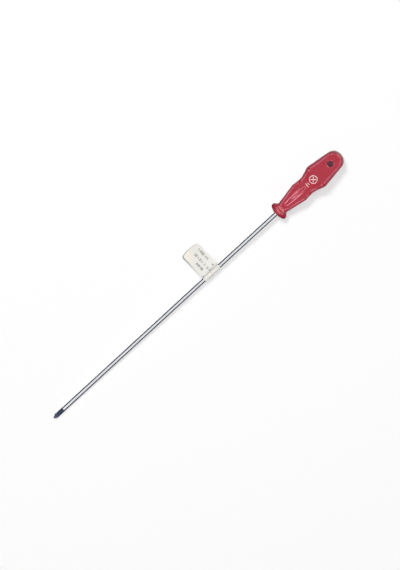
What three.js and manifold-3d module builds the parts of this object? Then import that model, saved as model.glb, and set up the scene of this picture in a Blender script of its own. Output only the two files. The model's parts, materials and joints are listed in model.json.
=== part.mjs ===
// A long cross-point screwdriver lying on its side, in millimetres.
// The blunt end of the point is the origin and the blade runs along +X into the handle.
// +Z is up, through the handle's hanging hole, and the paper flag label reaches out along +Y.
import * as THREE from "three";
import { mergeVertices } from "three/addons/utils/BufferGeometryUtils.js";
import Module from "manifold-3d";

const wasm = await Module();
wasm.setup();

// Blade: one steel bar, with a ground cross point in front and pressed wings inside the handle
const shaftDiameter = 4.5;
const exposedLength = 300; // from the point's blunt end to the front of the handle
const pointEndDiameter = 1.3;
const pointHalfAngle = 26.5; // degrees, of the cone that the four point edges lie on
const fluteRootDistance = 0.42; // from the axis to a point flute's bottom, at the blunt end
const fluteRise = 13; // degrees, at which a point flute's bottom climbs out of the bar
const wingSpan = 6;
const wingThickness = 2.4;
const wingLength = 14;
const wingSetback = 4; // from the wings to the blade's rear end

// Handle: one moulding, round at the flange and square with rounded corners behind it.
// A station is placed from the handle's front; soft is how far its corner is rounded along the outline.
const handleLength = 89.1;
const frontLand = 0.7; // flat ring left round the blade at the handle's front
const dome = { at: 1.15, width: 11.5, soft: 1.6 };
const rimFront = { at: 3.65, width: 19, soft: 1.7 };
const rimRear = { at: 6.9, width: 19, soft: 2.2 };
const neck = { at: 9.6, width: 11.7, soft: 2.27 };
const frontSwell = { at: 32.9, width: 20.45, soft: 1.7 };
const waist = { at: 39.8, width: 17.4, soft: 5.6 };
const rise = { at: 48, width: 21.08, soft: 3 };
const shoulder = { at: 55.2, width: 26.95, soft: 2.6 };
const buttWidth = 17.56; // where the tapering sides would meet the end plane
const buttSoft = 8.8;
const squareBy = 14; // from the handle's front, where its section has turned square
const cornerRadius = 2.8;
const gripFluteStart = 14; // closed end of a grip flute, from the handle's front
const gripFluteRadius = 10;
const gripFluteDepth = { atStart: 0.18, atSwell: 0.43 };
const hangHoleDiameter = 6.5;
const hangHoleFromButt = 14.7;
const wallAheadOfHole = 9.2; // plastic between the blade's rear end and the hanging hole

// Label: one paper strip folded round the blade, its two leaves stuck together as a flag
const labelWidth = 20.7; // along the blade
const labelToHandle = 75.5; // from the label's near edge to the handle's front
const flagReach = 31; // from the blade's axis to the flag's outer end
const flagDrop = 8.45; // of the outer end below the blade's axis, so that it clears the table
const flagSag = 1.9; // of the control point that gives the flag its bow
const flagBow = 0.9; // of the flag's outer edge beyond its corners
const flagCorner = 2.2;
const flagSkew = 2.4; // degrees, that the strip was wrapped out of square
const paperThickness = 0.15;
const leafAngle = 45; // degrees round the blade, where each leaf leaves it

// Clearances
const bladeClearance = 0.15; // between the blade and its seat in the handle
const sleeveClearance = 0.15; // between the label's sleeve and the blade
const flagClearance = 0.15; // between the flag's root and the sleeve

// Facets
const roundSides = 32;
const cornerSteps = 6;
const fluteSides = 96; // round the large ball-nosed cutter of a grip flute
const curveSteps = 6;
const longestStation = 4; // between the rings of the handle
const samePoint = 1e-4; // outline points this near each other are one
const roundRingFlat = 0.02; // share of a round ring left flat, so that every ring has like points
const overcut = 1; // how far a cutter stands past the surface that it opens

const shaftRadius = shaftDiameter / 2;
const hangHoleAt = handleLength - hangHoleFromButt;
const embeddedLength = hangHoleAt - hangHoleDiameter / 2 - wallAheadOfHole;
const sleeveRadius = shaftRadius + sleeveClearance;
const labelMiddle = exposedLength - labelToHandle - labelWidth / 2;

const quarterTurn = Math.PI / 2;
const quarters = 4; // flutes of the point, flats of the grip and corners of its section
const radians = THREE.MathUtils.degToRad;

// Closed geometry as a solid that can be joined and cut
function solidFrom(geometry) {
  const bare = geometry.clone();
  bare.deleteAttribute("normal");
  bare.deleteAttribute("uv");
  const merged = mergeVertices(bare);
  const corners = merged.index.array;
  const triangles = [];
  for (let i = 0; i < corners.length; i += 3) {
    const [a, b, c] = corners.slice(i, i + 3);
    if (a !== b && b !== c && c !== a) triangles.push(a, b, c);
  }
  return new wasm.Manifold(
    new wasm.Mesh({
      numProp: 3,
      vertProperties: merged.attributes.position.array,
      triVerts: new Uint32Array(triangles),
    }),
  );
}

// The solid's surface as flat-shaded geometry
function geometryFrom(solid) {
  const mesh = solid.getMesh();
  const geometry = new THREE.BufferGeometry();
  geometry.setAttribute("position", new THREE.BufferAttribute(mesh.vertProperties, 3));
  geometry.setIndex(new THREE.BufferAttribute(mesh.triVerts, 1));
  const faceted = geometry.toNonIndexed();
  faceted.computeVertexNormals();
  return faceted;
}

// A profile of [radius, x] pairs turned about the X axis
function turned(profile) {
  const points = profile.map(([radius, x]) => new THREE.Vector2(radius, x));
  return new THREE.LatheGeometry(points, roundSides).rotateZ(-quarterTurn);
}

function namedMesh(name, geometry, color, roughness, metalness) {
  const material = new THREE.MeshStandardMaterial({ color, roughness, metalness });
  const mesh = new THREE.Mesh(geometry, material);
  mesh.name = name;
  return mesh;
}

// The bar and its wings, grown by a clearance to cut the seat that they fill in the handle
function bladeBlank(profile, grownBy) {
  const rearEnd = exposedLength + embeddedLength;
  const wings = new THREE.BoxGeometry(
    wingLength + 2 * grownBy,
    wingSpan + 2 * grownBy,
    wingThickness + 2 * grownBy,
  );
  wings.translate(rearEnd - wingSetback - wingLength / 2, 0, 0);
  return solidFrom(turned(profile)).add(solidFrom(wings));
}

// One square-cornered cutter for the flute between two point edges, lying along +X above the axis
function pointFluteCutter() {
  const runOut = (shaftRadius - fluteRootDistance) / Math.tan(radians(fluteRise));
  const length = runOut + shaftDiameter;
  const cutter = new THREE.BoxGeometry(length, shaftDiameter, shaftDiameter);
  cutter.translate(length / 2 - overcut, shaftRadius, shaftRadius);
  cutter.rotateX(quarterTurn / 2);
  cutter.rotateY(-radians(fluteRise));
  return cutter.translate(0, 0, fluteRootDistance);
}

function makeBlade() {
  const endRadius = pointEndDiameter / 2;
  const pointLength = (shaftRadius - endRadius) / Math.tan(radians(pointHalfAngle));
  const rearEnd = exposedLength + embeddedLength;
  let blade = bladeBlank(
    [
      [0, 0],
      [endRadius, 0],
      [shaftRadius, pointLength],
      [shaftRadius, rearEnd],
      [0, rearEnd],
    ],
    0,
  );
  const cutter = pointFluteCutter();
  for (let flute = 0; flute < quarters; flute++) {
    const turn = (flute + 1 / 2) * quarterTurn;
    blade = blade.subtract(solidFrom(cutter.clone().rotateX(turn)));
  }
  return namedMesh("blade", geometryFrom(blade), 0xc4c8cc, 0.18, 1);
}

// Half the handle's width against the distance from its front, rounded at each station
function handleOutline() {
  const stations = [
    { at: 0, width: shaftDiameter + 2 * frontLand, soft: 0 },
    dome,
    rimFront,
    rimRear,
    neck,
    frontSwell,
    waist,
    rise,
    shoulder,
    { at: handleLength, width: buttWidth, soft: buttSoft },
    { at: handleLength, width: 0, soft: 0 },
  ];
  const corners = stations.map(({ at, width }) => new THREE.Vector2(at, width / 2));
  const reach = (from, to) => {
    const edge = corners[from].distanceTo(corners[to]);
    const asked = stations[from].soft + stations[to].soft;
    return stations[from].soft * Math.min(1, edge / asked);
  };
  const toward = (from, to) =>
    corners[from].clone().add(corners[to].clone().sub(corners[from]).setLength(reach(from, to)));
  const outline = new THREE.Path();
  outline.moveTo(corners[0].x, corners[0].y);
  for (let i = 1; i < corners.length - 1; i++) {
    const start = toward(i, i - 1);
    const end = toward(i, i + 1);
    outline.lineTo(start.x, start.y);
    outline.quadraticCurveTo(corners[i].x, corners[i].y, end.x, end.y);
  }
  const last = corners.at(-1);
  outline.lineTo(last.x, last.y);
  return outline.getPoints(curveSteps);
}

// The outline's points with long gaps filled and repeated points left out
function handleStations() {
  const points = handleOutline();
  const stations = [points[0]];
  for (let i = 1; i < points.length; i++) {
    const gap = points[i - 1].distanceTo(points[i]);
    if (gap < samePoint) continue;
    const pieces = Math.ceil(gap / longestStation);
    for (let piece = 1; piece <= pieces; piece++) {
      stations.push(points[i - 1].clone().lerp(points[i], piece / pieces));
    }
  }
  return stations;
}

// Round at the flange, then square with rounded corners
function handleRing(station) {
  const half = station.y;
  const squareness = THREE.MathUtils.smoothstep(station.x, rimRear.at, squareBy);
  const square = Math.min(half, cornerRadius);
  const wanted = THREE.MathUtils.lerp(half, square, squareness);
  const corner = Math.min(wanted, half * (1 - roundRingFlat));
  const ring = [];
  for (let quarter = 0; quarter < quarters; quarter++) {
    const middle = new THREE.Vector2(half - corner, half - corner);
    middle.rotateAround(new THREE.Vector2(), quarter * quarterTurn);
    for (let step = 0; step <= cornerSteps; step++) {
      const angle = (quarter + step / cornerSteps) * quarterTurn;
      ring.push([
        exposedLength + station.x,
        middle.x + corner * Math.cos(angle),
        middle.y + corner * Math.sin(angle),
      ]);
    }
  }
  return ring;
}

// Rings of equal counts joined into a closed skin, with a point at each end
function lofted(rings, frontPoint, rearPoint) {
  const count = rings[0].length;
  const positions = [frontPoint, ...rings.flat(), rearPoint].flat();
  const rear = 1 + rings.length * count;
  const index = [];
  for (let side = 0; side < count; side++) {
    const next = (side + 1) % count;
    index.push(0, 1 + next, 1 + side);
    for (let ring = 0; ring < rings.length - 1; ring++) {
      const here = 1 + ring * count;
      const beyond = here + count;
      index.push(here + side, here + next, beyond + next);
      index.push(here + side, beyond + next, beyond + side);
    }
    const last = rear - count;
    index.push(last + side, last + next, rear);
  }
  const geometry = new THREE.BufferGeometry();
  geometry.setAttribute("position", new THREE.Float32BufferAttribute(positions, 3));
  geometry.setIndex(index);
  return geometry;
}

// Height of the straight flat between the neck and the swell, at a distance from the front
function gripFlatHeight(at) {
  const share = (at - neck.at) / (frontSwell.at - neck.at);
  return THREE.MathUtils.lerp(neck.width, frontSwell.width, share) / 2;
}

// A ball-nosed cutter that sinks along the top flat and leaves it in the waist
function gripFluteCutter() {
  const depth = gripFluteDepth;
  const mouth = Math.sqrt(gripFluteRadius ** 2 - (gripFluteRadius - depth.atStart) ** 2);
  const at = gripFluteStart + mouth;
  const start = new THREE.Vector3(at, 0, gripFlatHeight(at) + gripFluteRadius - depth.atStart);
  const swellHeight = frontSwell.width / 2 + gripFluteRadius - depth.atSwell;
  const along = new THREE.Vector3(frontSwell.at, 0, swellHeight).sub(start).normalize();
  const length = (waist.at - at) / along.x;
  const cutter = new THREE.CapsuleGeometry(gripFluteRadius, length, fluteSides / quarters, fluteSides);
  const upright = new THREE.Vector3(0, 1, 0);
  cutter.applyQuaternion(new THREE.Quaternion().setFromUnitVectors(upright, along));
  const middle = start.addScaledVector(along, length / 2);
  return cutter.translate(exposedLength + middle.x, middle.y, middle.z);
}

function makeHandle() {
  const stations = handleStations();
  const rings = stations.slice(0, -1).map(handleRing);
  const front = [exposedLength, 0, 0];
  const rear = [exposedLength + handleLength, 0, 0];
  let handle = solidFrom(lofted(rings, front, rear));

  const boreRadius = shaftRadius + bladeClearance;
  const boreEnd = exposedLength + embeddedLength + bladeClearance;
  const seat = bladeBlank(
    [
      [0, exposedLength - overcut],
      [boreRadius, exposedLength - overcut],
      [boreRadius, boreEnd],
      [0, boreEnd],
    ],
    bladeClearance,
  );
  handle = handle.subtract(seat);

  const holeLength = shoulder.width + 2 * overcut;
  const holeRadius = hangHoleDiameter / 2;
  const hole = new THREE.CylinderGeometry(holeRadius, holeRadius, holeLength, roundSides);
  hole.rotateX(quarterTurn).translate(exposedLength + hangHoleAt, 0, 0);
  handle = handle.subtract(solidFrom(hole));

  const flute = gripFluteCutter();
  for (let side = 0; side < quarters; side++) {
    const cutter = flute.clone().rotateX(side * quarterTurn);
    handle = handle.subtract(solidFrom(cutter));
  }
  return namedMesh("handle", geometryFrom(handle), 0xb43a4b, 0.22, 0);
}

// The stretch of the strip that is wrapped round the blade
function makeLabelSleeve() {
  const outer = sleeveRadius + paperThickness;
  const near = labelMiddle - labelWidth / 2;
  const far = labelMiddle + labelWidth / 2;
  const sleeve = turned([
    [sleeveRadius, near],
    [outer, near],
    [outer, far],
    [sleeveRadius, far],
    [sleeveRadius, near],
  ]);
  return namedMesh("label_sleeve", sleeve, 0xecece4, 0.75, 0);
}

// The two leaves seen along the blade: they leave the sleeve, meet and droop as one bowed sheet
function flagSection() {
  const rootRadius = sleeveRadius + paperThickness + flagClearance;
  const leave = radians(leafAngle);
  const meet = rootRadius / Math.cos(leave);
  const middle = (meet + flagReach) / 2;
  const end = flagReach + flagBow + overcut;
  const section = new THREE.Shape();
  section.moveTo(rootRadius * Math.cos(leave), rootRadius * Math.sin(leave));
  section.lineTo(meet, paperThickness);
  section.quadraticCurveTo(middle, paperThickness - flagSag, end, paperThickness - flagDrop);
  section.lineTo(end, -paperThickness - flagDrop);
  section.quadraticCurveTo(middle, -paperThickness - flagSag, meet, -paperThickness);
  section.lineTo(rootRadius * Math.cos(leave), -rootRadius * Math.sin(leave));
  section.absarc(0, 0, rootRadius, -leave, leave, false);
  return section;
}

// The flag seen from above, from behind the blade to its rounded and slightly bowed outer end
function flagPlan() {
  const half = labelWidth / 2;
  const inner = -shaftDiameter;
  const plan = new THREE.Shape();
  plan.moveTo(-half, inner);
  plan.lineTo(half, inner);
  plan.lineTo(half, flagReach - flagCorner);
  plan.quadraticCurveTo(half, flagReach, half - flagCorner, flagReach);
  plan.quadraticCurveTo(0, flagReach + 2 * flagBow, flagCorner - half, flagReach);
  plan.quadraticCurveTo(-half, flagReach, -half, flagReach - flagCorner);
  plan.closePath();
  return plan;
}

function makeLabelFlag() {
  const slack = flagReach * Math.tan(radians(flagSkew)) + overcut;
  const length = labelWidth + 2 * slack;
  const sheet = new THREE.ExtrudeGeometry(flagSection(), {
    depth: length,
    steps: 1,
    curveSegments: 2 * curveSteps,
    bevelEnabled: false,
  });
  const sectionFrame = new THREE.Matrix4().makeBasis(
    new THREE.Vector3(0, 1, 0),
    new THREE.Vector3(0, 0, 1),
    new THREE.Vector3(1, 0, 0),
  );
  sheet.applyMatrix4(sectionFrame).translate(labelMiddle - length / 2, 0, 0);

  const height = 2 * (flagDrop + shaftDiameter);
  const trim = new THREE.ExtrudeGeometry(flagPlan(), {
    depth: height,
    steps: 1,
    curveSegments: curveSteps,
    bevelEnabled: false,
  });
  const skew = new THREE.Matrix4().makeShear(0, 0, -Math.tan(radians(flagSkew)), 0, 0, 0);
  trim.translate(0, 0, -height / 2).applyMatrix4(skew).translate(labelMiddle, 0, 0);
  const flag = solidFrom(sheet).intersect(solidFrom(trim));
  return namedMesh("label_flag", geometryFrom(flag), 0xecece4, 0.75, 0);
}

const screwdriver = new THREE.Group();
screwdriver.add(makeBlade(), makeHandle());

const label = new THREE.Group();
label.add(makeLabelSleeve(), makeLabelFlag());
screwdriver.add(label);

export default screwdriver;
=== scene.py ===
import json
import math
from functools import partial

import bpy
import numpy as np
from mathutils import Matrix, Vector


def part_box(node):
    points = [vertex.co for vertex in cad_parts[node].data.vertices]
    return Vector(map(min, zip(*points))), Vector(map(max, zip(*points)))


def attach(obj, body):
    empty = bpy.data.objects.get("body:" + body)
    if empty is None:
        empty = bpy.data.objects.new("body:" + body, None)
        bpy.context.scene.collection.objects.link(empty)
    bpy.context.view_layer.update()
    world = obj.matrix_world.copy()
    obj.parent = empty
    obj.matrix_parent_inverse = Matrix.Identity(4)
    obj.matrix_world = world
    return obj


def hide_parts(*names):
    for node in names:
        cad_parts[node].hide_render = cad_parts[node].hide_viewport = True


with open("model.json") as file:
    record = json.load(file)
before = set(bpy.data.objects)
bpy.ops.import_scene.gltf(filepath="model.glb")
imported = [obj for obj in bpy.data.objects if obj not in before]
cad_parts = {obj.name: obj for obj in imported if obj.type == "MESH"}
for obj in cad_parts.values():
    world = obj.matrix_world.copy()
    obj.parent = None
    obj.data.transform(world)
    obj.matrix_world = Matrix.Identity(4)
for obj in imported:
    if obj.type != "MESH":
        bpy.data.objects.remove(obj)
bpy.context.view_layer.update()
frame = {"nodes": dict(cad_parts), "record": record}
mm = 0.001  # sizes in the dictionaries are in millimetres, Blender's are in metres
weld = 1e-6  # metres, points as near as this are one
print("frame loaded:", ", ".join(sorted(frame["nodes"])))


# Helpers

def linear(colour):  # sRGB hex to the linear RGBA that the shaders take
    channels = [int(colour[i:i + 2], 16) / 255 for i in (1, 3, 5)]
    return (*[c / 12.92 if c <= 0.04045 else ((c + 0.055) / 1.055) ** 2.4 for c in channels], 1)


def feed(node, inputs):  # sets or links inputs, named or in order; a node stands for its first output
    for socket, value in inputs.items() if isinstance(inputs, dict) else enumerate(inputs):
        source = value.outputs[0] if isinstance(value, bpy.types.Node) else value
        if isinstance(source, bpy.types.NodeSocket):
            node.id_data.links.new(source, node.inputs[socket])
        else:
            node.inputs[socket].default_value = source


def addNode(tree, kind, inputs=(), **settings):
    node = tree.nodes.new(kind)
    for name, value in settings.items():
        setattr(node, name, value)
    feed(node, inputs)
    return node


def emptyTree(owner):  # clears a material's or a world's nodes, and returns what adds one there
    owner.use_nodes = True
    owner.node_tree.nodes.clear()
    return partial(addNode, owner.node_tree)


def newMaterial(name):  # a material, what adds a node to it, and its principled shader
    material = bpy.data.materials.new(name)
    add = emptyTree(material)
    shader = add("ShaderNodeBsdfPrincipled")
    add("ShaderNodeOutputMaterial", {"Surface": shader})
    return material, add, shader


def newShape(name, sizes):  # a geometry tree with an input for each size: what adds a node, and the inputs
    tree = bpy.data.node_groups.new(name, "GeometryNodeTree")
    tree.interface.new_socket("Geometry", in_out="INPUT", socket_type="NodeSocketGeometry")
    for label, size in sizes.items():
        kind = "NodeSocketInt" if isinstance(size, int) else "NodeSocketFloat"
        tree.interface.new_socket(label, in_out="INPUT", socket_type=kind)
    tree.interface.new_socket("Geometry", in_out="OUTPUT", socket_type="NodeSocketGeometry")
    add = partial(addNode, tree)
    return add, add("NodeGroupInput").outputs


def runShape(name, add, result, material, sizes, base, sharpFrom):  # the tree's result as a plain mesh piece
    dressed = add("GeometryNodeSetMaterial", {"Geometry": result, "Material": material})
    add("NodeGroupOutput", {"Geometry": dressed})
    tree = result.id_data
    piece = bpy.data.objects.new(name, base)
    bpy.context.scene.collection.objects.link(piece)
    modifier = piece.modifiers.new("shape", "NODES")
    modifier.node_group = tree
    for socket in tree.interface.items_tree:
        if socket.in_out == "INPUT" and socket.name in sizes:
            modifier[socket.identifier] = sizes[socket.name]
    graph = bpy.context.evaluated_depsgraph_get()
    mesh = bpy.data.meshes.new_from_object(piece.evaluated_get(graph), depsgraph=graph)
    piece.modifiers.clear()
    piece.data = mesh
    mesh.name = name
    mesh.shade_smooth()
    mesh.set_sharp_from_angle(angle=math.radians(sharpFrom))
    print(name, "has", len(mesh.polygons), "faces")
    return piece


def storeValues(mesh, **attributes):
    for name, values in attributes.items():
        mesh.attributes.new(name, "FLOAT", "POINT").data.foreach_set("value", np.float32(values))


def outlineMesh(name, points, **attributes):  # one vertex for each ring: x along the tool, y half its width
    mesh = bpy.data.meshes.new(name)
    mesh.from_pydata([(x, half, 0) for x, half in points], [], [])
    storeValues(mesh, **attributes)
    return mesh


def ringGrid(add, outline, sides):  # a grid with a row for each outline point; its vertices' rows and angles
    rows = add("GeometryNodeAttributeDomainSize", {"Geometry": outline}).outputs["Point Count"]
    columns = add("ShaderNodeMath", [sides, 1], operation="ADD")
    grid = add("GeometryNodeMeshGrid", {
        "Size X": 1, "Size Y": 2 * math.pi, "Vertices X": rows, "Vertices Y": columns})
    place = add("ShaderNodeSeparateXYZ", [add("GeometryNodeInputPosition")]).outputs
    share = add("ShaderNodeMath", [place["X"], 0.5], operation="ADD")
    last = add("ShaderNodeMath", [rows, 1], operation="SUBTRACT")
    row = add("ShaderNodeMath", [share, last], operation="MULTIPLY")
    whole = add("FunctionNodeFloatToInt", [row], rounding_mode="ROUND")
    return grid, whole, place["Y"]


def sampled(add, outline, field, row, kind):  # a value of the outline point that a vertex's row stands for
    return add("GeometryNodeSampleIndex", {
        "Geometry": outline, "Value": field, "Index": row}, data_type=kind)


# Blade: one round bar with a ground cross point

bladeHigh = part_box("blade")[1]
blade = {
    "radius": bladeHigh.z / mm,
    "rearEnd": bladeHigh.x / mm,
    "endRadius": 0.65,  # of the blunt end
    "pointHalfAngle": 26.5,
    "edgeBreak": 0.1,  # small chamfer at the blunt end and the rear end
    "shoulderSoft": 0.8,  # rounding where the cone meets the bar
    "flutes": 4,
    "fluteRoot": 0.42,  # from the axis to a flute's bottom at the blunt end
    "fluteRise": 13,  # degrees
    "fluteFillet": 0.3,
    "filletPoints": 5,
    "sides": 96,
    "tipStep": 0.25,  # between rings at the point, and on the bar
    "barStep": 4,
    "blackLength": 13,
    "sharpFrom": 28,  # degrees, a sharper edge isn't shaded smooth
}
outlineStyle = {
    "cornerPoints": 13,  # on each rounded corner
    "leastGap": 1e-4,
}


def softOutline(stations, step):  # straight runs with each corner rounded by a quadratic curve
    corners = np.array([station[:2] for station in stations], float)
    soft = [station[2] for station in stations]

    def toward(here, there):
        edge = corners[there] - corners[here]
        length = np.linalg.norm(edge)
        asked = soft[here] + soft[there]
        return corners[here] + edge * soft[here] / max(length, asked)

    line = [corners[0]]
    for i in range(1, len(corners) - 1):
        start, end = toward(i, i - 1), toward(i, i + 1)
        for t in np.linspace(0, 1, outlineStyle["cornerPoints"]):
            line.append((1 - t) ** 2 * start + 2 * t * (1 - t) * corners[i] + t * t * end)
    line.append(corners[-1])
    full = [line[0]]
    for point in line[1:]:
        gap = np.linalg.norm(point - full[-1])
        if gap < outlineStyle["leastGap"]:
            continue
        pieces = math.ceil(gap / step)
        start = full[-1]
        full += [start + (point - start) * k / pieces for k in range(1, pieces + 1)]
    return np.array(full)


def bladeOutline():
    point = (blade["radius"] - blade["endRadius"]) / math.tan(math.radians(blade["pointHalfAngle"]))
    chamfer = blade["edgeBreak"]
    nose = softOutline([
        (0, 0, 0),
        (0, blade["endRadius"] - chamfer, 0),
        (chamfer, blade["endRadius"], 0),
        (point, blade["radius"], blade["shoulderSoft"]),
        (blade["blackLength"] + blade["barStep"], blade["radius"], 0)], blade["tipStep"])
    bar = softOutline([
        (blade["blackLength"] + blade["barStep"], blade["radius"], 0),
        (blade["rearEnd"] - chamfer, blade["radius"], 0),
        (blade["rearEnd"], blade["radius"] - chamfer, 0),
        (blade["rearEnd"], 0, 0)], blade["barStep"])
    return np.vstack([nose, bar[1:]]) * mm


def makeBlade(material):
    sizes = {
        "Sides": blade["sides"],
        "Flute root": blade["fluteRoot"] * mm,
        "Flute rise": math.radians(-blade["fluteRise"]),
        "Flute fillet": blade["fluteFillet"] * mm,
        "Flute side": 2 * blade["radius"] * mm,  # the cutter reaches past the bar's outside
        "Flute length": 6 * blade["radius"] * mm,  # and past where the flute runs out
    }
    add, given = newShape("ground bar", sizes)
    grid, row, angle = ringGrid(add, given["Geometry"], given["Sides"])
    position = add("GeometryNodeInputPosition")
    own = add("ShaderNodeSeparateXYZ", [
        sampled(add, given["Geometry"], position, row, "FLOAT_VECTOR")]).outputs
    sides = {}
    for axis, turn in (("Y", "COSINE"), ("Z", "SINE")):
        direction = add("ShaderNodeMath", [angle], operation=turn)
        sides[axis] = add("ShaderNodeMath", [direction, own["Y"]], operation="MULTIPLY")
    target = add("ShaderNodeCombineXYZ", {"X": own["X"], **sides})
    skin = add("GeometryNodeSetPosition", {"Geometry": grid, "Position": target})
    closed = add("GeometryNodeMergeByDistance", {"Geometry": skin, "Distance": weld})

    # one flute cutter: a bar with a rounded lower edge, tipped up along the tool, repeated round the axis
    square = add("GeometryNodeCurvePrimitiveQuadrilateral", {
        "Width": given["Flute side"], "Height": given["Flute side"]})
    rounded = add("GeometryNodeFilletCurve", {
        "Curve": square, "Count": blade["filletPoints"], "Radius": given["Flute fillet"]}, mode="POLY")
    onEdge = add("GeometryNodeTransform", {"Geometry": rounded, "Rotation": (0, 0, math.pi / 4)})
    end = add("ShaderNodeCombineXYZ", {"X": given["Flute length"]})
    line = add("GeometryNodeCurvePrimitiveLine", {"Start": (-blade["radius"] * mm, 0, 0), "End": end})
    cutter = add("GeometryNodeCurveToMesh", {"Curve": line, "Profile Curve": onEdge, "Fill Caps": True})
    halfDiagonal = add("ShaderNodeMath", [given["Flute side"], math.sqrt(0.5)], operation="MULTIPLY")
    overlap = add("ShaderNodeMath", [given["Flute fillet"], math.sqrt(2) - 1], operation="MULTIPLY")
    lift = add("ShaderNodeMath", [halfDiagonal, overlap], operation="SUBTRACT")
    raised = add("GeometryNodeTransform", {
        "Geometry": cutter,
        "Translation": add("ShaderNodeCombineXYZ", {"Z": lift})})
    tipped = add("GeometryNodeTransform", {
        "Geometry": raised,
        "Translation": add("ShaderNodeCombineXYZ", {"Z": given["Flute root"]}),
        "Rotation": add("ShaderNodeCombineXYZ", {"Y": given["Flute rise"]})})
    onAxis = add("GeometryNodeMeshLine", {"Count": blade["flutes"], "Offset": (0, 0, 0)})
    number = add("GeometryNodeInputIndex")
    turn = add("ShaderNodeMath", [
        number, 2 * math.pi / blade["flutes"], math.pi / blade["flutes"]], operation="MULTIPLY_ADD")
    flutes = add("GeometryNodeInstanceOnPoints", {
        "Points": onAxis, "Instance": tipped,
        "Rotation": add("ShaderNodeCombineXYZ", {"X": turn})})
    cut = add("GeometryNodeMeshBoolean", {
        "Mesh 1": closed,
        "Mesh 2": add("GeometryNodeRealizeInstances", {"Geometry": flutes}),
        "Self Intersection": True}, operation="DIFFERENCE", solver="EXACT")
    outline = outlineMesh("bar outline", bladeOutline())
    return runShape("blade_bar", add, cut, material, sizes, outline, blade["sharpFrom"])


# Handle: one moulding, round in front and square with rounded corners behind

handle = {
    "front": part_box("handle")[0].x / mm,
    "stations": [  # distance from the front, width, how far the corner there is rounded
        (0.9, 2 * blade["radius"] + 1.4, 0), (1, 9, 1.2), (3.1, 19.2, 2.4), (7.1, 19.2, 2), (9.8, 11.6, 1.8),
        (32.9, 20.45, 1.7), (39.8, 17.4, 5.6), (48, 21.08, 3), (55.2, 26.95, 2.6), (89.1, 17.56, 8.8),
        (89.1, 0, 0)],
    "round": 6.9,  # the section is round up to here
    "square": 14,  # and square with rounded corners from here on
    "corners": ((36, 2.8), (46, 3.2), (58, 5), (66, 5), (82, 3.6)),  # where, and their radius there
    "buttRound": (80, 88.5),  # the section turns round again over this stretch
    "buttTall": 0.5,  # how much taller than wide it gets there
    "flangeTop": [  # the flange is lower than wide: distance from the front, half its height, rounding
        (0.9, 4.4, 0), (1, 4.5, 0.5), (4.3, 7.3, 0.7), (5.7, 8.1, 0.7), (7.1, 8.1, 0.7), (9.7, 5.78, 1.2),
        (32.9, 10.225, 0)],
    "flangeEnd": 13,  # from here on the height is the width's again
    "ringStep": 0.24,
    "plainRun": (44, 68),  # half as many rings serve here
    "sides": 224,
    "crowdFlats": 0.25,  # how much closer the columns lie on the flats' middles
    "crowdBoth": 0.45,  # and on those and the corners alike
    "boreClearance": 0.1,
    "panelStart": 14.1,  # a shallow sunk panel on each grip flat, closed towards the neck
    "panelFade": (33.5, 38.5),  # where it runs out into the waist
    "panelHalf": (2.05, 3.2),  # half its width at the closed end and at the waist
    "panelDepth": 0.2,
    "panelWall": 0.85,
    "panelEnd": 1.8,  # how much steeper the closed end is than the sides
    "panelCorner": 1.4,
    "ribStart": 21.5,  # a slim raised tongue that starts in the panel and ends in the waist
    "ribFull": 31,
    "ribEnd": 40.9,
    "ribHalf": 1.45,
    "ribRise": 0.2,
    "ribWall": 0.5,
    "ribCorner": 1.3,
    "holeRadius": 3.25,  # of the hanging hole
    "holeCut": 40,  # length of the cutter, which passes through
    "holeSides": 72,
    "lipDepth": 0.4,  # rounding at the hole's edge
    "lipWidth": 0.9,
    "sharpFrom": 40,
}
holeLow, holeHigh = frame["record"]["physics"]["openings"][0]["box_m"]
handle["holeAt"] = (holeLow[0] + holeHigh[0]) / 2 / mm


def smoothStep(x, low, high):
    t = np.clip((x - low) / (high - low), 0, 1)
    return t * t * (3 - 2 * t)


def handleOutline():  # the bore, then the outside from front to butt, with what each ring's section needs
    stations = [(at, width / 2, soft) for at, width, soft in handle["stations"]]
    outside = softOutline(stations, handle["ringStep"])
    plainFrom, plainTo = handle["plainRun"]
    plain = (outside[:, 0] > plainFrom) & (outside[:, 0] < plainTo)
    outside = outside[~plain | (np.arange(len(outside)) % 2 == 0)]
    bore = blade["radius"] + handle["boreClearance"]
    boreEnd = blade["rearEnd"] - handle["front"] + handle["boreClearance"]
    points = np.vstack([[(boreEnd, 0), (boreEnd, bore), (outside[0, 0], bore)], outside])
    at, half = points.T
    inside = np.arange(len(points)) < 3
    butt = smoothStep(at, *handle["buttRound"])
    square = smoothStep(at, handle["round"], handle["square"]) * (1 - butt)
    soft = np.interp(at, *np.transpose(handle["corners"]))
    corner = half + square * (np.minimum(half, soft) - half)
    corner[inside] = half[inside]

    # the height's share of the width
    flangeTop = np.interp(at, *softOutline(handle["flangeTop"], handle["ringStep"]).T)
    onFlange = (at > handle["stations"][1][0]) & (at < handle["flangeEnd"])
    tall = 1 + handle["buttTall"] * butt
    tall[onFlange] = flangeTop[onFlange] / half[onFlange]
    tall[inside] = 1

    panelStart, (fadeFrom, fadeTo) = handle["panelStart"], handle["panelFade"]
    panelHalf = np.interp(at, (panelStart, fadeTo), handle["panelHalf"])
    panelDepth = handle["panelDepth"] * (1 - smoothStep(at, fadeFrom, fadeTo))
    panelDepth[inside] = 0
    ribHalf = np.interp(at, (handle["ribStart"], handle["ribFull"]), (0, handle["ribHalf"]))
    ribRise = np.where(inside | (at > handle["ribEnd"]), 0, handle["ribRise"])
    return outlineMesh(
        "handle outline", (points + (handle["front"], 0)) * mm, corner=corner * mm, tall=tall,
        panelHalf=panelHalf * mm, panelDepth=panelDepth * mm,
        pastStart=(at - panelStart) * handle["panelEnd"] * mm,
        ribHalf=ribHalf * mm, ribRise=ribRise * mm, beforeEnd=(handle["ribEnd"] - at) * mm)


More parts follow.
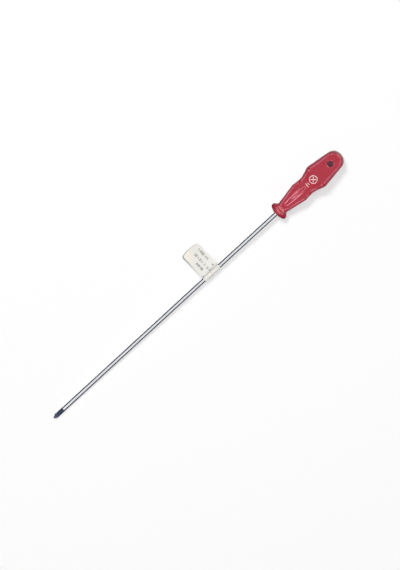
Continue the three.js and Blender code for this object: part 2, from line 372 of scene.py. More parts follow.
def makeHandle(material):
    sizes = {
        "Sides": handle["sides"],
        "Crowd on flats": -handle["crowdFlats"] / 4,
        "Crowd on both": -handle["crowdBoth"] / 8,
        "Panel wall": handle["panelWall"] * mm,
        "Panel corner": handle["panelCorner"] * mm,
        "Rib wall": handle["ribWall"] * mm,
        "Rib corner": handle["ribCorner"] * mm,
        "Hole radius": handle["holeRadius"] * mm,
        "Hole place": handle["holeAt"] * mm,
        "Hole length": handle["holeCut"] * mm,
        "Lip depth": handle["lipDepth"] * mm,
        "Lip reach": (handle["holeRadius"] + handle["lipWidth"]) * mm,
    }
    add, given = newShape("moulded handle", sizes)
    outline = given["Geometry"]
    grid, row, even = ringGrid(add, outline, given["Sides"])
    angle = even
    for times, crowd in ((4, "Crowd on flats"), (8, "Crowd on both")):
        turns = add("ShaderNodeMath", [even, times], operation="MULTIPLY")
        swing = add("ShaderNodeMath", [turns], operation="SINE")
        angle = add("ShaderNodeMath", [swing, given[crowd], angle], operation="MULTIPLY_ADD")
    position = add("GeometryNodeInputPosition")
    own = add("ShaderNodeSeparateXYZ", [sampled(add, outline, position, row, "FLOAT_VECTOR")]).outputs
    ring = {}
    for name in ("corner", "tall", "panelHalf", "panelDepth", "pastStart", "ribHalf", "ribRise", "beforeEnd"):
        stored = add("GeometryNodeInputNamedAttribute", {"Name": name}, data_type="FLOAT")
        ring[name] = sampled(add, outline, stored, row, "FLOAT")

    # how far the rounded square reaches in this vertex's direction
    cosine = add("ShaderNodeMath", [angle], operation="COSINE")
    sine = add("ShaderNodeMath", [angle], operation="SINE")
    sideways = add("ShaderNodeMath", [cosine], operation="ABSOLUTE")
    upward = add("ShaderNodeMath", [sine], operation="ABSOLUTE")
    most = add("ShaderNodeMath", [sideways, upward], operation="MAXIMUM")
    least = add("ShaderNodeMath", [sideways, upward], operation="MINIMUM")
    flat = add("ShaderNodeMath", [own["Y"], ring["corner"]], operation="SUBTRACT")
    toFlat = add("ShaderNodeMath", [own["Y"], most], operation="DIVIDE")
    besideMiddle = add("ShaderNodeMath", [toFlat, least], operation="MULTIPLY")
    onFlat = add("ShaderNodeMath", [besideMiddle, flat], operation="LESS_THAN")
    total = add("ShaderNodeMath", [most, least], operation="ADD")
    apart = add("ShaderNodeMath", [most, least], operation="SUBTRACT")
    toCentre = add("ShaderNodeMath", [flat, total], operation="MULTIPLY")
    offCentre = add("ShaderNodeMath", [flat, apart], operation="MULTIPLY")
    offSquare = add("ShaderNodeMath", [offCentre, offCentre], operation="MULTIPLY")
    cornerSquare = add("ShaderNodeMath", [ring["corner"], ring["corner"]], operation="MULTIPLY")
    left = add("ShaderNodeMath", [cornerSquare, offSquare], operation="SUBTRACT")
    beyond = add("ShaderNodeMath", [left], operation="SQRT")
    toCorner = add("ShaderNodeMath", [toCentre, beyond], operation="ADD")
    reach = add("GeometryNodeSwitch", {
        "Switch": onFlat, "False": toCorner, "True": toFlat}, input_type="FLOAT")

    # the sunk panel and the raised tongue on each flat, by the distance inside their rounded outlines
    across = add("ShaderNodeMath", [reach, least], operation="MULTIPLY")

    def relief(half, end, corner, wall, height):
        side = add("ShaderNodeMath", [half, across], operation="SUBTRACT")
        squares = []
        for inset in (side, end):
            short = add("ShaderNodeMath", [corner, inset], operation="SUBTRACT")
            some = add("ShaderNodeMath", [short, 0], operation="MAXIMUM")
            squares.append(add("ShaderNodeMath", [some, some], operation="MULTIPLY"))
        both = add("ShaderNodeMath", [squares[0], squares[1]], operation="ADD")
        gone = add("ShaderNodeMath", [both], operation="SQRT")
        within = add("ShaderNodeMath", [corner, gone], operation="SUBTRACT")
        climbed = add("ShaderNodeMapRange", {"Value": within, 2: wall})
        onWall = add("ShaderNodeMath", [climbed, 0.5], operation="PINGPONG")
        return [add("ShaderNodeMath", [part, height], operation="MULTIPLY")
                for part in (climbed, onWall)]

    panel, panelEdge = relief(
        ring["panelHalf"], ring["pastStart"], given["Panel corner"], given["Panel wall"], ring["panelDepth"])
    tongue, tongueEdge = relief(
        ring["ribHalf"], ring["beforeEnd"], given["Rib corner"], given["Rib wall"], ring["ribRise"])
    moulded = add("ShaderNodeMath", [tongue, panel], operation="SUBTRACT")
    # the relief's walls, where the plastic's material paints a highlight
    edges = add("ShaderNodeMath", [panelEdge, tongueEdge], operation="ADD")
    marked = add("GeometryNodeStoreNamedAttribute", {
        "Geometry": grid, "Name": "reliefEdge", "Value": edges}, data_type="FLOAT", domain="POINT")

    # the flats above and below fall away round the hanging hole
    fromHole = add("ShaderNodeMath", [own["X"], given["Hole place"]], operation="SUBTRACT")
    spread = add("ShaderNodeCombineXYZ", {"X": fromHole, "Y": across})
    distance = add("ShaderNodeVectorMath", [spread], operation="LENGTH").outputs["Value"]
    nearness = add("ShaderNodeMapRange", {
        "Value": distance, 1: given["Lip reach"], 2: given["Hole radius"]})
    facing = add("ShaderNodeMath", [upward, sideways], operation="GREATER_THAN")
    curved = add("ShaderNodeMath", [nearness, nearness], operation="MULTIPLY")
    onLip = add("ShaderNodeMath", [curved, facing], operation="MULTIPLY")
    lip = add("ShaderNodeMath", [onLip, given["Lip depth"]], operation="MULTIPLY")
    change = add("ShaderNodeMath", [moulded, lip], operation="SUBTRACT")
    places = {"X": own["X"]}
    taller = add("ShaderNodeMath", [sine, ring["tall"]], operation="MULTIPLY")
    for axis, direction, mine, other in (("Y", cosine, sideways, upward), ("Z", taller, upward, sideways)):
        chosen = add("ShaderNodeMath", [mine, other], operation="GREATER_THAN")
        sign = add("ShaderNodeMath", [direction], operation="SIGN")
        signed = add("ShaderNodeMath", [sign, chosen], operation="MULTIPLY")
        plain = add("ShaderNodeMath", [direction, reach], operation="MULTIPLY")
        places[axis] = add("ShaderNodeMath", [signed, change, plain], operation="MULTIPLY_ADD")
    target = add("ShaderNodeCombineXYZ", places)
    skin = add("GeometryNodeSetPosition", {"Geometry": marked, "Position": target})
    closed = add("GeometryNodeMergeByDistance", {"Geometry": skin, "Distance": weld})

    hole = add("GeometryNodeMeshCylinder", {
        "Vertices": handle["holeSides"], "Radius": given["Hole radius"], "Depth": given["Hole length"]})
    there = add("ShaderNodeCombineXYZ", {"X": given["Hole place"]})
    drill = add("GeometryNodeTransform", {"Geometry": hole, "Translation": there})
    cut = add("GeometryNodeMeshBoolean", {
        "Mesh 1": closed, "Mesh 2": drill}, operation="DIFFERENCE", solver="EXACT")
    return runShape("handle_moulding", add, cut, material, sizes, handleOutline(), handle["sharpFrom"])


# Label: one paper strip folded round the bar, its two leaves stuck together

sleeveLow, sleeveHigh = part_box("label_sleeve")
label = {
    "middle": (sleeveLow.x + sleeveHigh.x) / 2 / mm,
    "width": 20.3,
    "paper": 0.12,
    "glue": 0.02,
    "wrapInset": 0.09,  # from the sleeve's outside to the paper's middle
    "leafAngle": 32,  # degrees round the bar, where each leaf leaves it
    "reach": 31.2,  # from the axis to the outer end
    "drop": 8.45,  # of the outer end
    "sag": 1.9,
    "bow": 1.2,  # of the outer end
    "tipCorner": 1.7,  # rounding of the outer corners
    "handleCorner": 2.5,
    "skew": 0.2,  # degrees
    "underAlong": -1.4,  # the lower leaf shows past the upper one towards the point
    "underFrom": 3,  # increasingly from this far past the fold
    "underReach": 0.6,  # and at the outer end
    "foldSoft": 0.33,
    "foldRun": 2.5,  # how far past the fold the wrap's rows go
    "spare": 1,  # the leaf's curve runs on past the outer end
    "curvePoints": 200,
    "pathPoints": 800,
    "columns": 45,
    "leafRows": 30,
    "wrapRows": 110,
    "sharpFrom": 50,
}
label["wrapRadius"] = sleeveHigh.z / mm - label["wrapInset"]


def makeLabel(material):
    half = label["width"] / 2
    meet = label["wrapRadius"] / math.cos(math.radians(label["leafAngle"]))
    t = np.linspace(0, 1, label["curvePoints"])
    flagEnd = label["reach"] + label["bow"] + label["spare"]
    leafY = (1 - t) ** 2 * meet + t * (1 - t) * (meet + label["reach"]) + t * t * flagEnd
    leafZ = -2 * t * (1 - t) * label["sag"] - t * t * label["drop"]
    rise = (label["paper"] + label["glue"]) / 2
    share = np.sin(np.linspace(-1, 1, label["columns"]) * math.pi / 2)  # closer at the edges

    # outer end of each column: bowed, with rounded corners
    corner = np.where(share < 0, label["tipCorner"], label["handleCorner"])
    bow = label["bow"] * (1 - share ** 2)
    inCorner = (corner - half * (1 - np.abs(share))).clip(0)
    end = label["reach"] + bow - corner + np.sqrt((corner ** 2 - inCorner ** 2).clip(0))

    # the middle of the paper round the bar, from one leaf to the other, with the folds softened
    join = meet + label["foldRun"]
    joinZ = np.interp(join, leafY, leafZ)
    leave = math.radians(label["leafAngle"])
    arc = np.linspace(leave, 2 * math.pi - leave, label["curvePoints"])
    ring = label["wrapRadius"] * np.column_stack([np.cos(arc), np.sin(arc)])
    upper = [(join, joinZ + rise), (meet, rise)]
    lower = [(meet, -rise), (join, joinZ - rise)]
    path = np.vstack([upper, ring, lower])
    along = np.concatenate([[0], np.cumsum(np.linalg.norm(np.diff(path, axis=0), axis=1))])
    fine = np.linspace(0, along[-1], label["pathPoints"])
    path = np.column_stack([np.interp(fine, along, path[:, k]) for k in (0, 1)])
    blur = round(label["foldSoft"] / fine[1])
    padded = np.pad(path, ((blur, blur), (0, 0)), mode="reflect", reflect_type="odd")
    kernel = np.ones(2 * blur + 1) / (2 * blur + 1)
    path = np.column_stack([np.convolve(padded[:, k], kernel, "valid") for k in (0, 1)])
    wrap = path[np.linspace(0, len(path) - 1, label["wrapRows"]).astype(int)]

    def underShift(y):  # the lower leaf was stuck on slightly out of line
        return label["underAlong"] * smoothStep(y, meet + label["underFrom"], label["reach"])

    rows = []
    steps = np.linspace(1, 0, label["leafRows"], endpoint=False)
    for step in steps:
        y = join + (end - join) * step
        rows.append((y, np.interp(y, leafY, leafZ) + rise, np.zeros_like(y)))
    for k, (y, z) in enumerate(wrap):
        under = underShift(y) if k > len(wrap) / 2 else 0
        rows.append((np.full_like(end, y), np.full_like(end, z), np.full_like(end, under)))
    for step in steps[::-1]:
        y = join + (end + label["underReach"] - join) * step
        rows.append((y, np.interp(y, leafY, leafZ) - rise, underShift(y)))
    y, z, shift = (np.array([row[k] for row in rows]) for k in range(3))
    x = label["middle"] + share * half + shift - y * math.tan(math.radians(label["skew"]))
    middle = np.stack([x, y, z], axis=-1) * mm

    # two skins half the paper's thickness either side, closed round the border
    normal = np.cross(np.gradient(middle, axis=1), np.gradient(middle, axis=0))
    normal /= np.linalg.norm(normal, axis=-1, keepdims=True)
    offset = normal * label["paper"] / 2 * mm
    count, columns = middle.shape[:2]
    inner = count * columns
    points = np.concatenate([(middle + offset).reshape(-1, 3), (middle - offset).reshape(-1, 3)])
    faces = []
    for i in range(count - 1):
        for j in range(columns - 1):
            a = i * columns + j
            quad = (a, a + 1, a + columns + 1, a + columns)
            faces.append(quad)
            faces.append(tuple(inner + v for v in reversed(quad)))
    border = list(range(columns))
    border += [i * columns + columns - 1 for i in range(1, count)]
    border += [(count - 1) * columns + j for j in range(columns - 2, -1, -1)]
    border += [i * columns for i in range(count - 2, 0, -1)]
    for a, b in zip(border, border[1:] + border[:1]):
        faces.append((b, a, inner + a, inner + b))
    mesh = bpy.data.meshes.new("label_strip")
    mesh.from_pydata(points.tolist(), [], faces)

    # in millimetres, how far out from the bar and across the strip; then the upper outside and the stuck side
    firstHalf = (np.arange(count) < count // 2).repeat(columns)
    storeValues(
        mesh, fromBar=np.tile(y.ravel(), 2), acrossStrip=np.tile(share * half, 2 * count),
        upperLeaf=np.concatenate([np.zeros(inner), firstHalf]),
        stuckSide=np.concatenate([np.ones(inner), np.zeros(inner)]))
    mesh.materials.append(material)
    mesh.update()
    mesh.shade_smooth()
    mesh.set_sharp_from_angle(angle=math.radians(label["sharpFrom"]))
    piece = bpy.data.objects.new("label_strip", mesh)
    bpy.context.scene.collection.objects.link(piece)
    flatLength = np.linalg.norm(np.diff(middle, axis=0), axis=-1).sum(axis=0).max()
    print("label_strip has", len(faces), "faces, and lay flat at", round(flatLength / mm, 1), "mm")
    return piece, flatLength


# Materials

def platedSteel():  # bright nickel-chrome plate on a drawn bar, chemically blackened at the point
    look = {
        "plate": "#DADDE1",
        "black": "#323947",
        "rubbed": "#3C4352",  # where the blackening has worn
        "plateRoughness": 0.07,
        "blackRoughness": 0.24,
        "wear": (0.5, 0.75),  # from where to where in the noise it wears off
        "ragged": 0.15,  # how unevenly the blackening ends
        "raggedSize": 1.2,
        "drawLine": 0.25,  # spacing of the drawing lines, coarser than the real ones so that they show
        "drawStretch": 0.004,  # their width as a share of their length
        "drawRoughness": 0.02,
        "smudge": 14,  # size of the fingermarks
        "smudged": (0.5, 0.8),
        "smudgeRoughness": 0.03,
    }
    material, add, shader = newMaterial("nickelChromePlate")
    spot = add("ShaderNodeTexCoord").outputs["Object"]
    along = add("ShaderNodeSeparateXYZ", [spot]).outputs["X"]
    edge = add("ShaderNodeTexNoise", {"Vector": spot, "Scale": 1 / (look["raggedSize"] * mm), "Detail": 3})
    wander = add("ShaderNodeMath", [edge, 2 * look["ragged"] * mm, along], operation="MULTIPLY_ADD")
    plated = add("ShaderNodeMapRange", {
        "Value": wander, 1: blade["blackLength"] * mm,
        2: (blade["blackLength"] + 2 * look["ragged"]) * mm})
    wear = add("ShaderNodeMapRange", [edge, *look["wear"]])
    black = add("ShaderNodeMix", {
        "Factor": wear, 6: linear(look["black"]), 7: linear(look["rubbed"])}, data_type="RGBA").outputs[2]
    colour = add("ShaderNodeMix", {
        "Factor": plated, 6: black, 7: linear(look["plate"])}, data_type="RGBA").outputs[2]
    drawn = add("ShaderNodeMapping", {"Vector": spot, "Scale": (look["drawStretch"], 1, 1)})
    lines = add("ShaderNodeTexNoise", {"Vector": drawn, "Scale": 1 / (look["drawLine"] * mm), "Detail": 2})
    smudge = add("ShaderNodeTexNoise", {"Vector": spot, "Scale": 1 / (look["smudge"] * mm), "Detail": 5})
    clean = add("ShaderNodeMapRange", {
        "Value": plated, 3: look["blackRoughness"], 4: look["plateRoughness"]})
    lined = add("ShaderNodeMath", [lines, look["drawRoughness"], clean], operation="MULTIPLY_ADD")
    touched = add("ShaderNodeMapRange", [smudge, *look["smudged"], 0, look["smudgeRoughness"]])
    rough = add("ShaderNodeMath", [lined, touched], operation="ADD")
    feed(shader, {"Base Color": colour, "Metallic": 1, "Roughness": rough})
    return material


def cellulosePlastic():  # moulded and polished cellulose acetate: deep glossy red, faint flow marks and haze, and a painted highlight along the relief's edges
    look = {
        "red": "#B41331",
        "deepRed": "#A70E2C",
        "paintedHighlight": "#F5808E",  # painted highlight along the relief's edges: a lighter pink that stands in for the gloss catching the light there
        "paintedHighlightMost": 0.8,
        "paintedHighlightFull": 1 / 3,  # share of the panel's depth at which the painted highlight is strongest
        "ior": 1.48,
        "roughness": (0.08, 0.16),  # where clean and where rubbed
        "flow": 9,  # size of the flow marks
        "haze": 3,  # and of the rubbed patches
        "hazy": (0.35, 0.75),
        "ink": "#F0DCDC",
        "inkRoughness": 0.35,
        "inkGrain": 0.7,
        "inkWorn": (0.32, 0.46),
        "inkKept": (0.25, 0.9),  # where most and where least worn
        "signAt": 51.5,  # a plain screw-head sign, from the handle's front
        "signRadius": 3.9,
        "signLine": 0.75,
        "bars": ((43.1, 2.3), (45.1, 1.5)),  # two plain bars before it: where, and half their length
    }
    material, add, shader = newMaterial("celluloseAcetate")
    spot = add("ShaderNodeTexCoord").outputs["Object"]
    flow = add("ShaderNodeTexNoise", {"Vector": spot, "Scale": 1 / (look["flow"] * mm), "Detail": 3})
    red = add("ShaderNodeMix", {
        "Factor": flow, 6: linear(look["deepRed"]), 7: linear(look["red"])}, data_type="RGBA").outputs[2]
    haze = add("ShaderNodeTexNoise", {"Vector": spot, "Scale": 1 / (look["haze"] * mm), "Detail": 4})
    rubbed = add("ShaderNodeMapRange", [haze, *look["hazy"], *look["roughness"]])

    # the printed sign, in millimetres from its middle, on the upper flat only
    fromSign = add("ShaderNodeMapping", {
        "Vector": spot, "Location": (-(handle["front"] + look["signAt"]), 0, 0),
        "Scale": (1 / mm, 1 / mm, 1 / mm)})
    here = add("ShaderNodeSeparateXYZ", [fromSign]).outputs
    flat = add("ShaderNodeCombineXYZ", {"X": here["X"], "Y": here["Y"]})
    radius = add("ShaderNodeVectorMath", [flat], operation="LENGTH").outputs["Value"]
    marks = [add("ShaderNodeMath", [radius, look["signRadius"], look["signLine"] / 2], operation="COMPARE")]
    within = add("ShaderNodeMath", [radius, look["signRadius"] - look["signLine"]], operation="LESS_THAN")
    for way in ("ADD", "SUBTRACT"):
        slant = add("ShaderNodeMath", [here["X"], here["Y"]], operation=way)
        stroke = add("ShaderNodeMath", [slant, 0, look["signLine"] * math.sqrt(0.5)], operation="COMPARE")
        marks.append(add("ShaderNodeMath", [stroke, within], operation="MULTIPLY"))
    for at, halfLength in look["bars"]:
        thick = add("ShaderNodeMath", [
            here["X"], at - look["signAt"], look["signLine"] / 2], operation="COMPARE")
        long = add("ShaderNodeMath", [here["Y"], 0, halfLength], operation="COMPARE")
        marks.append(add("ShaderNodeMath", [thick, long], operation="MULTIPLY"))
    printed = marks[0]
    for mark in marks[1:]:
        printed = add("ShaderNodeMath", [printed, mark], operation="MAXIMUM")
    upper = add("ShaderNodeMath", [here["Z"], 0], operation="GREATER_THAN")
    fine = add("ShaderNodeTexNoise", {"Vector": spot, "Scale": 1 / (look["inkGrain"] * mm), "Detail": 4})
    kept = add("ShaderNodeMapRange", [fine, *look["inkWorn"], *look["inkKept"]])
    onTop = add("ShaderNodeMath", [printed, upper], operation="MULTIPLY")
    ink = add("ShaderNodeMath", [onTop, kept], operation="MULTIPLY")
    edge = add("ShaderNodeAttribute", attribute_name="reliefEdge").outputs["Fac"]
    # painted highlight: the relief's walls are coloured lighter pink
    highlightShare = add("ShaderNodeMapRange", {
        "Value": edge, 2: look["paintedHighlightFull"] * handle["panelDepth"] * mm, 4: look["paintedHighlightMost"]})
    highlighted = add("ShaderNodeMix", {
        "Factor": highlightShare, 6: red, 7: linear(look["paintedHighlight"])}, data_type="RGBA").outputs[2]
    colour = add("ShaderNodeMix", {
        "Factor": ink, 6: highlighted, 7: linear(look["ink"])}, data_type="RGBA").outputs[2]
    rough = add("ShaderNodeMapRange", {"Value": ink, 3: rubbed, 4: look["inkRoughness"]})
    feed(shader, {"Base Color": colour, "Roughness": rough, "IOR": look["ior"]})
    return material


def labelPaper():  # uncoated paper: dull off-white with faint fibres, lighter and yellower towards one corner, grey strokes, a grey stuck side, and a painted shade along the fold
    look = {
        "paper": "#EEEDE6",
        "fibre": "#E5E4DD",
        "roughness": 0.8,
        "fibreSize": 0.6,
        "fibreHeight": 0.02,
        "fibreShare": 0.15,
        "cornerTone": "#F6F4E2",  # lighter and yellower towards the outer corner nearest the point
        "cornerToneOut": (18, 31),
        "cornerToneAcross": (4, -9),
        # the stuck side is grey; it shows as a grey line where the lower leaf reaches past the upper one
        "stuckSideGrey": "#A3A49D",
        "ink": "#545450",
        "inkWorn": (0.3, 0.6),
        "inkKept": (0.6, 0.95),  # where most and where least worn
        "rows": ((6.4, 11.6, 26.5), (0.3, 2.6, 26.1), (-4.65, 5.7, 17.7)),  # across the strip, from, to
        "rowHeight": 2.7,
        "strokePitch": 1.15,
        "strokeHalf": 0.3,  # half a stroke's width as a share of the pitch
        "strokeChance": (0.25, 0.5),  # below the first there is no stroke, above the second it is full
        "dot": (5.5, 6.4, 0.95),  # how far out, across the strip, and its radius
        "paintedFoldShade": "#9B9B94",
        "fold": 3.4,  # the fold beside the bar, how wide the painted shade along it reaches, and how strong it is
        "foldWidth": 1.9,
        "foldShadeDepth": 0.36,
    }
    material, add, shader = newMaterial("uncoatedPaper")
    out, across, upper, stuckSideGrey = (
        add("ShaderNodeAttribute", attribute_name=name).outputs["Fac"]
        for name in ("fromBar", "acrossStrip", "upperLeaf", "stuckSide"))
    spot = add("ShaderNodeTexCoord").outputs["Object"]
    fibre = add("ShaderNodeTexNoise", {"Vector": spot, "Scale": 1 / (look["fibreSize"] * mm), "Detail": 5})
    fresh = add("ShaderNodeMix", {
        "Factor": fibre, 6: linear(look["fibre"]), 7: linear(look["paper"])}, data_type="RGBA").outputs[2]
    outward = add("ShaderNodeMapRange", [out, *look["cornerToneOut"]])
    tipward = add("ShaderNodeMapRange", [across, *look["cornerToneAcross"]])
    towardCorner = add("ShaderNodeMath", [outward, tipward], operation="MULTIPLY")
    cornerTone = add("ShaderNodeMix", {
        "Factor": towardCorner, 6: fresh, 7: linear(look["cornerTone"])}, data_type="RGBA").outputs[2]

    # strokes of uneven height stand for the print
    cells = add("ShaderNodeMath", [out, look["strokePitch"]], operation="DIVIDE")
    cell = add("ShaderNodeMath", [cells], operation="FLOOR")
    part = add("ShaderNodeMath", [cells], operation="FRACT")
    stroke = add("ShaderNodeMath", [part, 0.5, look["strokeHalf"]], operation="COMPARE")
    place = add("ShaderNodeCombineXYZ", {"X": out, "Y": across})
    dotOut, dotAcross, dotRadius = look["dot"]
    fromDot = add("ShaderNodeVectorMath", [
        place, (dotOut, dotAcross, 0)], operation="DISTANCE").outputs["Value"]
    printed = add("ShaderNodeMath", [fromDot, dotRadius], operation="LESS_THAN")
    for number, (middle, start, end) in enumerate(look["rows"]):
        chance = add("ShaderNodeTexWhiteNoise", {
            "Vector": add("ShaderNodeCombineXYZ", {"X": cell, "Y": number})})
        height = add("ShaderNodeMapRange", [chance, *look["strokeChance"], 0, look["rowHeight"] / 2])
        inRow = add("ShaderNodeMath", [across, middle, height], operation="COMPARE")
        inRun = add("ShaderNodeMath", [out, (start + end) / 2, (end - start) / 2], operation="COMPARE")
        both = add("ShaderNodeMath", [inRow, inRun], operation="MULTIPLY")
        drawn = add("ShaderNodeMath", [both, stroke], operation="MULTIPLY")
        printed = add("ShaderNodeMath", [printed, drawn], operation="MAXIMUM")
    onTop = add("ShaderNodeMath", [printed, upper], operation="MULTIPLY")
    kept = add("ShaderNodeMapRange", [fibre, *look["inkWorn"], *look["inkKept"]])
    inked = add("ShaderNodeMath", [onTop, kept], operation="MULTIPLY")
    marked = add("ShaderNodeMix", {
        "Factor": inked, 6: cornerTone, 7: linear(look["ink"])}, data_type="RGBA").outputs[2]

    # painted shade: the upper leaf is coloured grey along the fold beside the bar
    fromFold = add("ShaderNodeMath", [out, look["fold"]], operation="SUBTRACT")
    nearFold = add("ShaderNodeMath", [fromFold], operation="ABSOLUTE")
    inFold = add("ShaderNodeMapRange", {
        "Value": nearFold, 1: look["foldWidth"], 2: 0, 4: look["foldShadeDepth"]}, interpolation_type="SMOOTHSTEP")
    foldShadeMask = add("ShaderNodeMath", [inFold, upper], operation="MULTIPLY")
    paintedFoldShade = add("ShaderNodeMix", {
        "Factor": foldShadeMask, 6: marked, 7: linear(look["paintedFoldShade"])}, data_type="RGBA").outputs[2]
    colour = add("ShaderNodeMix", {
        "Factor": stuckSideGrey, 6: paintedFoldShade, 7: linear(look["stuckSideGrey"])}, data_type="RGBA").outputs[2]
    bump = add("ShaderNodeBump", {
        "Strength": look["fibreShare"], "Distance": look["fibreHeight"] * mm, "Height": fibre})
    feed(shader, {"Base Color": colour, "Roughness": look["roughness"], "Normal": bump})
    return material


# The table, the studio and the camera

stage = {
    "tipContact": (3.2, -2.25),  # x and z where the point's edge touches the table
    "shoulderContact": (356, -13.24),
    "tableSize": 16,  # metres
    "table": "#FDFDFD",
    "tableBounce": "#606060",  # the light that it throws back at the tool
    "handleShade": "#F2A0BC",  # where the red handle covers it
    "steelShade": "#C6C8CA",  # and where the bar and the label do
    "shadeBlend": 20,  # over this stretch in front of the handle the one turns into the other
    "shadeReach": 30,  # how near the tool must be to cover the table
    "covered": (0.25, 0.5),  # share of open sky where it is wholly covered and where it isn't
    "glow": 0.7,  # share of plain white in the table that the eye sees, so that shadows stay light
    "shadeGlow": 0.06,  # and where the tool covers it
    "skySeen": 0.95,
    "skyLight": 0.1,  # what the rest of the room adds
    "overhead": {  # lights the tool
        "azimuth": 0, "elevation": 90, "size": 2.6, "distance": 2.8, "radiance": 5.05},
    "key": {  # lights the table
        "azimuth": 67, "elevation": 68, "size": 0.7, "distance": 2.8, "radiance": 62},
    "sideBands": (  # bright stretches on both sides: azimuths, elevations, radiance, colour
        (48, 78, 30, 54, 4.8, "#E2EBFF"), (78, 106, 45, 64, 1.3, "#FFFFFF"),
        (106, 152, 32, 70, 5.4, "#E2EBFF")),
    "endBands": (  # and beyond the tool's ends
        (-30, 30, 1, 28, 6.6, "#FFCACA"), (162, 198, 12, 40, 8, "#FFCACA"), (-26, 26, 40, 58, 9, "#FFCACA")),
    "bandDistance": 3,  # metres
    "bandSteps": 32,
    "wallDistance": 3.03,
    "wallAzimuths": (78, 102),  # of the dark walls on either side of the tool
    "wallElevations": (-4, 45),
    "cardGap": (3.4, 17),  # from the axis to the dark cards on the table, at the point and at the handle
    "cardRun": (-75, 299),
    "cardLift": 0.1,
    "darkCard": "#55575B",
}
view = {
    "middle": (197.35, -0.95),  # x and y at the picture's centre
    "turn": 42.6,  # degrees that the tool rises from the picture's lower edge
    "height": 568.2,  # of the picture at the tool's axis
    "lens": 300,
    "sensor": 36,
}


def tableTurn():
    (tipX, tipZ), (shoulderX, shoulderZ) = stage["tipContact"], stage["shoulderContact"]
    return math.atan2(tipZ - shoulderZ, shoulderX - tipX)


def stageMesh(name, points, faces, place, material):
    mesh = bpy.data.meshes.new(name)
    mesh.from_pydata(points, [], faces)
    mesh.materials.append(material)
    thing = bpy.data.objects.new(name, mesh)
    thing.matrix_world = place
    bpy.context.scene.collection.objects.link(thing)
    return thing


def onlyReflected(thing):  # the tool's gloss shows it, and nothing else does
    thing.visible_camera = False
    thing.visible_diffuse = False
    thing.visible_shadow = False
    thing.visible_volume_scatter = False


def eyeRays(add):  # 1 for what the camera sees, straight or in gloss or through something clear, else 0
    path = add("ShaderNodeLightPath").outputs
    straight = add("ShaderNodeMath", [path["Is Camera Ray"], path["Is Glossy Ray"]], operation="MAXIMUM")
    return add("ShaderNodeMath", [straight, path["Is Transmission Ray"]], operation="MAXIMUM")


def makeTable(lying):
    material = bpy.data.materials.new("paleTable")
    add = emptyTree(material)
    eye = eyeRays(add)
    colour = add("ShaderNodeMix", {
        "Factor": eye, 6: linear(stage["tableBounce"]), 7: linear(stage["table"])},
        data_type="RGBA").outputs[2]

    # little glow where the tool covers the table, as under the hanging hole
    sky = add("ShaderNodeAmbientOcclusion", {"Distance": stage["shadeReach"] * mm}, samples=8).outputs["AO"]
    openly = add("ShaderNodeMapRange", [sky, *stage["covered"]])
    place = add("ShaderNodeTexCoord").outputs["Object"]
    along = add("ShaderNodeSeparateXYZ", [place]).outputs["X"]
    underHandle = add("ShaderNodeMapRange", {
        "Value": along, 1: (handle["front"] - stage["shadeBlend"]) * mm, 2: handle["front"] * mm})
    shade = add("ShaderNodeMix", {
        "Factor": underHandle, 6: linear(stage["steelShade"]), 7: linear(stage["handleShade"])},
        data_type="RGBA").outputs[2]
    shaded, tinted = (
        add("ShaderNodeMix", {"Factor": openly, 6: shade, 7: free}, data_type="RGBA").outputs[2]
        for free in (colour, (1, 1, 1, 1)))
    matte = add("ShaderNodeBsdfDiffuse", {"Color": shaded})
    white = add("ShaderNodeEmission", {"Color": tinted, "Strength": 1})
    glow = add("ShaderNodeMapRange", {"Value": openly, 3: stage["shadeGlow"], 4: stage["glow"]})
    share = add("ShaderNodeMath", [glow, eye], operation="MULTIPLY")
    seen = add("ShaderNodeMixShader", [share, matte, white])
    add("ShaderNodeOutputMaterial", {"Surface": seen})
    half = stage["tableSize"] / 2
    corners = [(-half, -half, 0), (half, -half, 0), (half, half, 0), (-half, half, 0)]
    return stageMesh("table", corners, [(0, 1, 2, 3)], lying, material)


def makeSky():
    world = bpy.data.worlds.new("studio")
    bpy.context.scene.world = world
    add = emptyTree(world)
    level = add("ShaderNodeMapRange", {"Value": eyeRays(add), 3: stage["skyLight"], 4: stage["skySeen"]})
    sky = add("ShaderNodeBackground", {"Color": (1, 1, 1, 1), "Strength": level})
    add("ShaderNodeOutputWorld", {"Surface": sky})


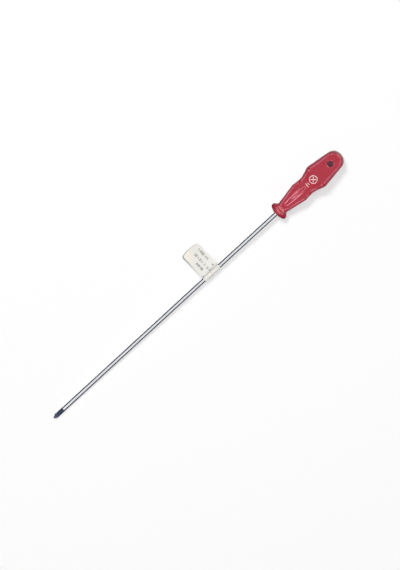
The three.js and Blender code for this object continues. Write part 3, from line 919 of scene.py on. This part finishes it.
def makeReflections(lying):  # what the plate and the gloss mirror: bright bands, dark walls and dark cards
    card, _, shader = newMaterial("darkCard")
    feed(shader, {"Base Color": linear(stage["darkCard"]), "Roughness": 1})
    centre = Matrix.Translation((view["middle"][0] * mm, 0, 0))

    def arcWall(name, distance, azimuths, elevations, side, material):
        steps = stage["bandSteps"]
        turns = np.radians(np.linspace(*azimuths, steps + 1)) * side
        bottom, top = (distance * math.tan(math.radians(e)) for e in elevations)
        points = [(distance * math.cos(a), distance * math.sin(a), z) for z in (bottom, top) for a in turns]
        faces = [(k, k + 1, k + steps + 2, k + steps + 1) for k in range(steps)]
        onlyReflected(stageMesh(name, points, faces, centre, material))

    def brightBand(name, start, end, low, high, radiance, tint, side=1):
        band, _, shader = newMaterial(name)
        feed(shader, {
            "Base Color": (0, 0, 0, 1), "Emission Color": linear(tint), "Emission Strength": radiance})
        arcWall(name, stage["bandDistance"], (start, end), (low, high), side, band)

    for number, band in enumerate(stage["endBands"]):
        brightBand(f"endBand{number}", *band)
    (start, end), (nearTip, nearHandle) = stage["cardRun"], stage["cardGap"]
    gaps = [max(0, nearTip + (nearHandle - nearTip) * x / handle["front"]) for x in (start, end)]
    lifted = Matrix.Translation((0, 0, stage["cardLift"] * mm)) @ lying
    for name, side in (("Left", 1), ("Right", -1)):
        for number, band in enumerate(stage["sideBands"]):
            brightBand(f"band{name}{number}", *band, side=side)
        arcWall("wall" + name, stage["wallDistance"], stage["wallAzimuths"], stage["wallElevations"],
                side, card)
        outer = side * stage["bandDistance"]
        points = [(start * mm, side * gaps[0] * mm, 0), (end * mm, side * gaps[1] * mm, 0),
                  (end * mm, outer, 0), (start * mm, outer, 0)]
        onlyReflected(stageMesh("card" + name, points, [(0, 1, 2, 3)], lifted, card))


def makeLamp(name, things):  # a round soft lamp that lights these things only
    lamp = stage[name]
    a, e = math.radians(lamp["azimuth"]), math.radians(lamp["elevation"])
    back = Vector((math.cos(a) * math.cos(e), math.sin(a) * math.cos(e), math.sin(e)))
    light = bpy.data.lights.new(name, "AREA")
    light.shape = "DISK"
    light.size = lamp["size"]
    light.energy = math.pi * (math.pi * lamp["size"] ** 2 / 4) * lamp["radiance"]
    softbox = bpy.data.objects.new(name, light)
    softbox.location = Vector((view["middle"][0], view["middle"][1], 0)) * mm + back * lamp["distance"]
    softbox.rotation_euler = back.to_track_quat("Z", "Y").to_euler()
    softbox.visible_glossy = False  # the bands stand for what the gloss shows
    bpy.context.scene.collection.objects.link(softbox)
    lit = bpy.data.collections.new(name + "Lights")
    for thing in things:
        lit.objects.link(thing)
    softbox.light_linking.receiver_collection = lit


def makeStage(pieces):
    contact = Vector((stage["tipContact"][0], 0, stage["tipContact"][1])) * mm
    lying = Matrix.Translation(contact) @ Matrix.Rotation(tableTurn(), 4, "Y")
    makeSky()
    makeReflections(lying)
    makeLamp("overhead", pieces)
    makeLamp("key", [makeTable(lying)])
    print("stage set")


def makeCamera():
    tilt = tableTurn()
    turn = math.radians(view["turn"])
    along = Vector((math.cos(tilt), 0, -math.sin(tilt)))
    across = Vector((0, 1, 0))
    normal = along.cross(across)
    right = along * math.cos(turn) - across * math.sin(turn)
    up = along * math.sin(turn) + across * math.cos(turn)
    data = bpy.data.cameras.new("camera")
    data.lens = view["lens"]
    data.sensor_width = view["sensor"]
    distance = view["height"] * mm * view["lens"] / view["sensor"]
    camera = bpy.data.objects.new("camera", data)
    target = Vector((view["middle"][0], view["middle"][1], 0)) * mm
    place = Matrix((right, up, normal)).transposed().to_4x4()
    place.translation = target + normal * distance
    camera.matrix_world = place
    bpy.context.scene.collection.objects.link(camera)
    bpy.context.scene.camera = camera


makeCamera()
bar = makeBlade(platedSteel())
grip = makeHandle(cellulosePlastic())
strip, flatLength = makeLabel(labelPaper())
makeStage([bar, grip, strip])

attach(bar, "tool")
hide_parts("blade")
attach(grip, "tool")
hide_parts("handle")
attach(strip, "label_leaf")
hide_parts("label_sleeve", "label_flag")

bpy.context.scene.view_settings.view_transform = "Standard"
